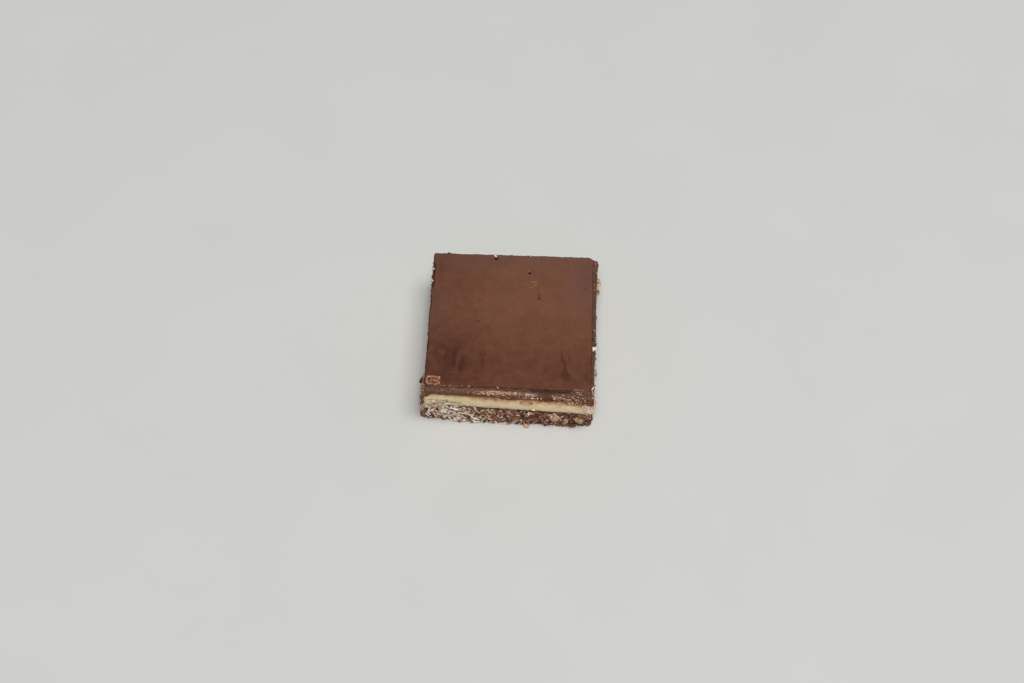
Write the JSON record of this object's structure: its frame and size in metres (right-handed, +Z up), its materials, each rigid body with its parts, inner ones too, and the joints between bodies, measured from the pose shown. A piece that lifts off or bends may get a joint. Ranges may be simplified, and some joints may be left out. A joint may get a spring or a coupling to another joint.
{
  "type": "nanaimo bar",
  "caption": "Square slice of layered dessert: a pressed crumb base, a custard filling and a smooth chocolate topping, cut on all sides and standing on its base.",
  "frame": {"origin": "middle of the slice's footprint, on the surface that it stands on", "axes": "+Z up through the layers, -Y towards the front cut side, +X towards the slice's right side"},
  "size_m": [0.0546, 0.0518, 0.019],
  "materials": {
    "crumb_base": "dry pressed cocoa crumbs with shredded coconut and chopped nuts, matte and rough",
    "custard": "firm pale yellow custard icing, satin where the knife has passed",
    "chocolate": "set milk chocolate, satin, with faint smears on top"
  },
  "bodies": {
    "root": {"base": "crumb_base", "custard": "custard", "chocolate": "chocolate"}
  },
  "joints": []
}
